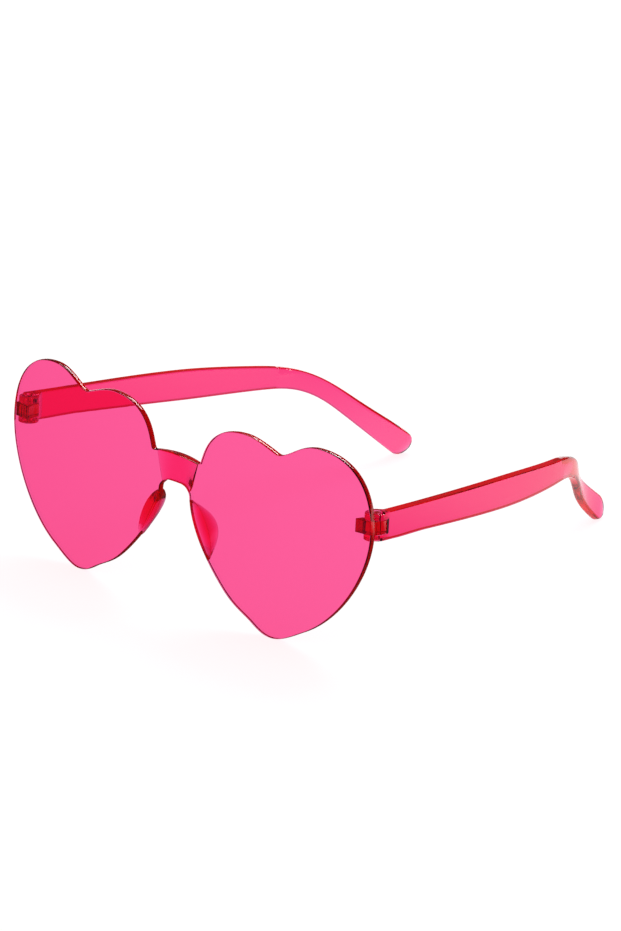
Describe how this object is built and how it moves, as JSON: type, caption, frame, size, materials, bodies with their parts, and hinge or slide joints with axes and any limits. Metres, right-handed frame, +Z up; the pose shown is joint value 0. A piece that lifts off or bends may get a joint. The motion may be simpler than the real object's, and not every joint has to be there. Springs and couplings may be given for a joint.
{
  "type": "sunglasses",
  "caption": "Rimless heart shaped sunglasses in clear pink plastic, lenses and bridge one wrapped plate, with nose pads and hinged, curved folding temples.",
  "frame": {"origin": "under the middle of the open glasses, on the table they stand on", "axes": "+Z up, lenses face -Y, temples run back along +Y, +X towards the wearer's left"},
  "size_m": [0.1488, 0.1438, 0.0602],
  "materials": {
    "front_plate": "clear pink plastic, polished",
    "nose_pads": "clear pink plastic, polished",
    "hinge_lugs": "clear pink plastic, polished",
    "hinge_pins": "clear pink plastic, polished",
    "temples": "clear pink plastic, polished"
  },
  "bodies": {
    "front": {"front_plate": "front_plate", "nose_pad_left": "nose_pads", "nose_pad_right": "nose_pads", "hinge_lug_left": "hinge_lugs", "hinge_lug_right": "hinge_lugs", "hinge_pin_left": "hinge_pins", "hinge_pin_right": "hinge_pins"},
    "temple_l": {"temple_left": "temples"},
    "temple_r": {"temple_right": "temples"}
  },
  "joints": [
    {"name": "fold_left", "type": "hinge", "parent": "front", "child": "temple_l", "pos_m": [0.0714, -0.06007, 0.04013], "axis": [0, 0.0715, 0.9974], "range_deg": [0, 77]},
    {"name": "fold_right", "type": "hinge", "parent": "front", "child": "temple_r", "pos_m": [-0.0714, -0.06007, 0.04013], "axis": [0, -0.0715, -0.9974], "range_deg": [0, 69]}
  ]
}
